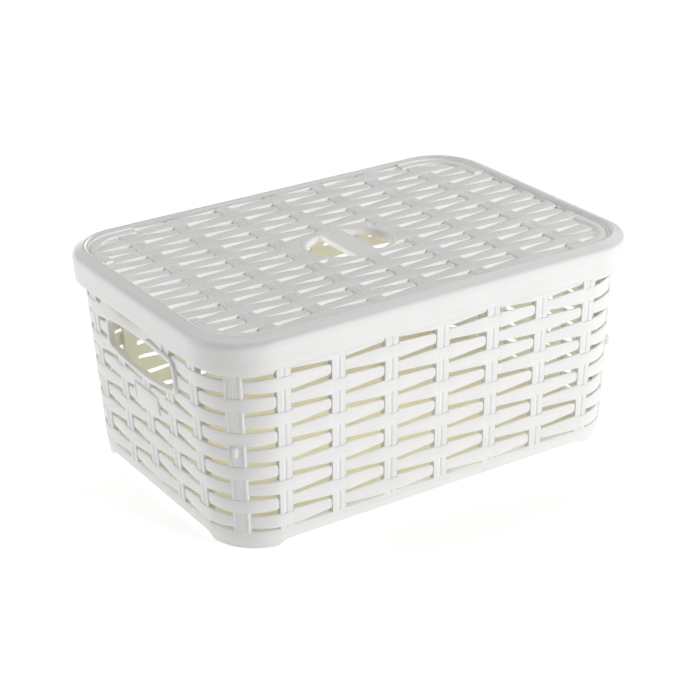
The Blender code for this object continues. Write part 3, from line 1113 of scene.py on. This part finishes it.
def build_grip_bar():
    """The bar across the grip, with fine ridges along it."""
    shell = Shell()
    half = BAR_HALF
    top = RING_TOP_Z + 0.1
    right = [(0.0, top - 0.25)]
    for k in range(5):
        s = 0.65 + k * 1.35
        right += [(s, top), (s + 0.67, top - 0.42)]
    right += [(half - 0.5, top - 0.1), (half - 0.1, top - 0.5), (half, top - 1.0)]
    right += [(half - 0.2, BAR_LOW_Z + 0.4), (half - 0.7, BAR_LOW_Z)]
    section = right[::-1] + [(-s, z) for s, z in right[1:]]
    reach = RING_Y - 2.5
    levels = list(np.linspace(-reach, reach, 9))
    rings = [[(s, y, z) for s, z in section] for y in levels]
    shell.loft(rings, levels)
    return shell


# -------- materials


def add_map(tree, value, ends):
    """Map a value by (from low, from high, to low, to high)."""
    node = tree.nodes.new("ShaderNodeMapRange")
    for name, end in zip(("From Min", "From Max", "To Min", "To Max"), ends):
        node.inputs[name].default_value = end
    tree.links.new(value, node.inputs["Value"])
    return node.outputs["Result"]


def add_ramp(tree, factor, stops):
    """Colour a factor by two stops of (position, colour)."""
    ramp = tree.nodes.new("ShaderNodeValToRGB")
    for element, (position, colour) in zip(ramp.color_ramp.elements, stops):
        element.position = position
        element.color = (*colour, 1.0)
    tree.links.new(factor, ramp.inputs["Fac"])
    return ramp.outputs["Color"]


def add_painted_glow(tree, direction, strength, low=0.45, high=0.95):
    """Painted light: faces turned the given way glow a little with emission, in place of light let
    through thin plastic.
    """
    nodes, links = tree.nodes, tree.links
    place = nodes.new("ShaderNodeTexCoord")
    facing = nodes.new("ShaderNodeVectorMath")
    facing.operation = "DOT_PRODUCT"
    facing.inputs[1].default_value = direction
    links.new(place.outputs["Normal"], facing.inputs[0])
    amount = add_map(tree, facing.outputs["Value"], (low, high, 0.0, strength))
    shader = nodes["Principled BSDF"]
    shader.inputs["Emission Color"].default_value = (1.0, 1.0, 0.97, 1.0)
    links.new(amount, shader.inputs["Emission Strength"])


def add_noise(tree, coordinates, scale, detail, roughness=0.5):
    noise = tree.nodes.new("ShaderNodeTexNoise")
    noise.inputs["Scale"].default_value = scale
    noise.inputs["Detail"].default_value = detail
    noise.inputs["Roughness"].default_value = roughness
    tree.links.new(coordinates, noise.inputs["Vector"])
    return noise.outputs["Fac"]


def add_bump(tree, height, strength, distance):
    bump = tree.nodes.new("ShaderNodeBump")
    bump.inputs["Strength"].default_value = strength
    bump.inputs["Distance"].default_value = distance
    tree.links.new(height, bump.inputs["Height"])
    return bump


def plastic(name, colour, shade, along_scale, across_scale, roughness=0.42, line_bump=0.35):
    """White moulded plastic with draw lines along each strand and a soft mottle."""
    material = bpy.data.materials.new(name)
    material.use_nodes = True
    tree = material.node_tree
    nodes, links = tree.nodes, tree.links
    shader = nodes["Principled BSDF"]
    uv = nodes.new("ShaderNodeUVMap")
    uv.uv_map = "strand"
    stretch = nodes.new("ShaderNodeMapping")
    stretch.inputs["Scale"].default_value = (along_scale, across_scale, 1.0)
    links.new(uv.outputs["UV"], stretch.inputs["Vector"])
    place = nodes.new("ShaderNodeTexCoord").outputs["Object"]
    lines = add_noise(tree, stretch.outputs["Vector"], 1.0, 3.0, 0.6)
    mottle = add_noise(tree, place, 38.0, 4.0)
    grain = add_noise(tree, place, 1800.0, 2.0)

    blend = nodes.new("ShaderNodeMix")
    blend.data_type = "FLOAT"
    blend.inputs[0].default_value = 0.4
    links.new(lines, blend.inputs[2])
    links.new(mottle, blend.inputs[3])
    tint = add_ramp(tree, blend.outputs[0], ((0.3, shade), (0.62, colour)))
    links.new(tint, shader.inputs["Base Color"])
    rough = add_map(tree, lines, (0.3, 0.7, roughness - 0.06, roughness + 0.08))
    links.new(rough, shader.inputs["Roughness"])

    bump_lines = add_bump(tree, lines, line_bump, 0.00022)
    bump_grain = add_bump(tree, grain, 0.12, 0.00005)
    links.new(bump_lines.outputs["Normal"], bump_grain.inputs["Normal"])
    links.new(bump_grain.outputs["Normal"], shader.inputs["Normal"])
    shader.inputs["IOR"].default_value = 1.49
    shader.inputs["Specular IOR Level"].default_value = 0.45
    return material


WHITE = (0.86, 0.86, 0.85)
WHITE_SHADE = (0.82, 0.82, 0.805)
LID_SHADE = (0.79, 0.79, 0.77)
# Painted shade: the basket's inside is white plastic, but its floor is coloured khaki for the shade
# inside it
INSIDE_PAINTED_SHADE = (0.80, 0.775, 0.66)
INSIDE_PAINTED_SHADE_DARK = (0.76, 0.735, 0.61)

weave_white = plastic("moulded_weave", WHITE, WHITE_SHADE, 18.0, 900.0)
frame_white = plastic("moulded_frame", WHITE, WHITE_SHADE, 6.0, 500.0, 0.38)
# Painted light: the lid weave's slot walls that face the front glow with emission
lid_white_painted_glow = plastic("moulded_lid_weave_painted_glow", WHITE, LID_SHADE, 14.0, 700.0, line_bump=0.75)
add_painted_glow(lid_white_painted_glow.node_tree, (0.0, -1.0, 0.0), 0.25)
# Painted highlight: the rim lip's faces turned right and up glow with emission
rim_lip_painted_highlight = plastic("moulded_rim_painted_highlight", WHITE, WHITE_SHADE, 6.0, 500.0, 0.38)
add_painted_glow(rim_lip_painted_highlight.node_tree, (0.8, 0.0, 0.6), 0.35, 0.68, 0.85)
# The floor pan takes the khaki painted shade
floor_painted_shade = plastic("moulded_floor_painted_shade", INSIDE_PAINTED_SHADE, INSIDE_PAINTED_SHADE_DARK, 30.0, 60.0, 0.5)
# Painted light: the grip bar's side turned to the left glows with emission
bar_painted_glow = plastic("moulded_bar_painted_glow", WHITE, WHITE_SHADE, 18.0, 900.0)
add_painted_glow(bar_painted_glow.node_tree, (-1.0, 0.0, 0.0), 0.25)


# -------- assembly

for name, stakes, node in (
    ("front_weave", range(0, 7), "front_wall"),
    ("back_weave", range(14, 21), "back_wall"),
    ("right_end_weave", range(8, 13), "right_end_wall"),
    ("left_end_weave", range(22, 27), "left_end_wall"),
    ("front_left_corner_weave", (27,), "front_left_corner"),
    ("front_right_corner_weave", (7,), "front_right_corner"),
    ("back_right_corner_weave", (13,), "back_right_corner"),
    ("back_left_corner_weave", (21,), "back_left_corner"),
):
    build_weave(stakes).make(name, "basket", "basket_weave", weave_white, (node,))

build_base().make("base_band_and_feet", "basket", "basket_frame", frame_white)
build_top_rim().make("basket_top_rim", "basket", "basket_frame", frame_white, ("basket_rim",))
build_floor().make("basket_floor_pan", "basket", "basket_frame", floor_painted_shade, ("basket_floor",))

for side, name in ((-1, "left"), (1, "right")):
    hand = build_hand_frame(side)
    build_header(hand, side)
    node = name + "_hand_hole_frame"
    hand.make(name + "_hand_hole_rim", "basket", "basket_frame", frame_white, (node,))
    node = name + "_tag_plate"
    build_tag(side).make(name + "_blank_tag", "basket", "basket_frame", frame_white, (node,))

build_skirt().make("lid_skirt_wall", "lid", "lid_frame", frame_white, ("lid_skirt",))
build_rim().make("lid_rounded_rim", "lid", "lid_frame", frame_white, ("lid_rim",))
build_rim_lip().make("lid_rim_inner_lip", "lid", "lid_frame", rim_lip_painted_highlight)

build_panel(lid_white_painted_glow)
build_grip_ring().make("lid_grip_oval", "lid", "lid_frame", lid_white_painted_glow, ("lid_grip_ring",))
build_grip_bar().make("lid_grip_cross_bar", "lid", "lid_frame", bar_painted_glow, ("lid_grip_bar",), 50.0)


# -------- floor, light and camera


def stage_material():
    """A matt white floor that shines a little, so that it stays even in the picture."""
    material = bpy.data.materials.new("pale_floor")
    material.use_nodes = True
    tree = material.node_tree
    shader = tree.nodes["Principled BSDF"]
    noise = tree.nodes.new("ShaderNodeTexNoise")
    noise.inputs["Scale"].default_value = 3.0
    greys = ((0.0, (0.90, 0.90, 0.90)), (1.0, (0.93, 0.93, 0.93)))
    tint = add_ramp(tree, noise.outputs["Fac"], greys)
    tree.links.new(tint, shader.inputs["Base Color"])
    shader.inputs["Roughness"].default_value = 0.9
    shader.inputs["Emission Color"].default_value = (1.0, 1.0, 1.0, 1.0)
    shader.inputs["Emission Strength"].default_value = 0.42
    return material


bpy.ops.mesh.primitive_grid_add(x_subdivisions=4, y_subdivisions=4, size=14.0)
ground = bpy.context.object
ground.name = "studio_floor"
ground.location.z = -0.0002
ground.data.materials.append(stage_material())


def build_world():
    """A white backdrop past the floor's far edge, which gives no light of its own."""
    world = bpy.data.worlds.new("studio")
    bpy.context.scene.world = world
    world.use_nodes = True
    nodes, links = world.node_tree.nodes, world.node_tree.links
    unseen = nodes["Background"]
    unseen.inputs["Strength"].default_value = 0.0
    seen = nodes.new("ShaderNodeBackground")
    seen.inputs["Color"].default_value = (1.0, 1.0, 1.0, 1.0)
    seen.inputs["Strength"].default_value = 1.05
    path = nodes.new("ShaderNodeLightPath")
    mix = nodes.new("ShaderNodeMixShader")
    links.new(path.outputs["Is Camera Ray"], mix.inputs["Fac"])
    links.new(unseen.outputs["Background"], mix.inputs[1])
    links.new(seen.outputs["Background"], mix.inputs[2])
    links.new(mix.outputs["Shader"], nodes["World Output"].inputs["Surface"])


build_world()


def area_light(name, direction, distance, size, power, colour=(1.0, 1.0, 1.0), target=(0, 0, 0.07)):
    """A rectangular lamp at a distance from its target, facing it."""
    data = bpy.data.lights.new(name, "AREA")
    data.shape = "RECTANGLE"
    data.size, data.size_y = size
    data.energy = power
    data.color = colour
    light = bpy.data.objects.new(name, data)
    bpy.context.scene.collection.objects.link(light)
    way = Vector(direction).normalized()
    light.location = Vector(target) + way * distance
    light.rotation_mode = "QUATERNION"
    light.rotation_quaternion = way.to_track_quat("Z", "Y")
    return light


def studio_light(name, azimuth, elevation, power, distance=1.6, size=(1.0, 1.0)):
    """A lamp seen from the object at this azimuth, 0 being the front, and elevation."""
    a, e = math.radians(azimuth), math.radians(elevation)
    way = (math.sin(a) * math.cos(e), -math.cos(a) * math.cos(e), math.sin(e))
    area_light(name, way, distance, size, power)


studio_light("front_softbox", 30.0, 30.0, 12.2)
studio_light("left_softbox", -120.0, 30.0, 10.1)
studio_light("back_softbox", 120.0, 30.0, 4.7)
studio_light("high_softbox", 180.0, 60.0, 6.4)
studio_light("right_high_softbox", 90.0, 60.0, 1.5)
studio_light("low_strip", 30.0, 5.0, 3.3, 1.4, (1.2, 0.28))
studio_light("low_back_strip", 180.0, 5.0, 3.2, 1.4, (1.2, 0.28))
inside = area_light(
    "glow_through_thin_walls", (0, 0, 1), 0.0, (0.20, 0.12), 0.08, (1.0, 0.95, 0.68), (0, 0, 0.112)
)
inside.visible_camera = False
inside.visible_glossy = False

# The camera's direction from the object, its roll, and how far its axis passes from AIM
AZIMUTH = math.radians(-32.092)
ELEVATION = math.radians(24.455)
ROLL = math.radians(-1.499)
AIM = Vector((0, 0, 0.1017))
DISTANCE = 1.15741
SHIFT_RIGHT = 0.0002
SHIFT_DOWN = 0.04028
level = math.cos(ELEVATION)
back = Vector((math.sin(AZIMUTH) * level, -math.cos(AZIMUTH) * level, math.sin(ELEVATION)))
right = Vector((0, 0, 1)).cross(back).normalized()
up = back.cross(right)
rolled_right = right * math.cos(ROLL) + up * math.sin(ROLL)
rolled_up = up * math.cos(ROLL) - right * math.sin(ROLL)
camera_data = bpy.data.cameras.new("camera")
camera_data.lens = 99.51
camera_data.clip_start = 0.05
camera_data.clip_end = 60.0
camera = bpy.data.objects.new("camera", camera_data)
scene = bpy.context.scene
scene.collection.objects.link(camera)
turn = Matrix((rolled_right, rolled_up, back)).transposed().to_4x4()
spot = AIM + back * DISTANCE + rolled_right * SHIFT_RIGHT - rolled_up * SHIFT_DOWN
camera.matrix_world = Matrix.Translation(spot) @ turn
scene.camera = camera

scene.view_settings.view_transform = "Standard"
scene.view_settings.look = "None"
scene.cycles.diffuse_bounces = 6
scene.cycles.max_bounces = 12
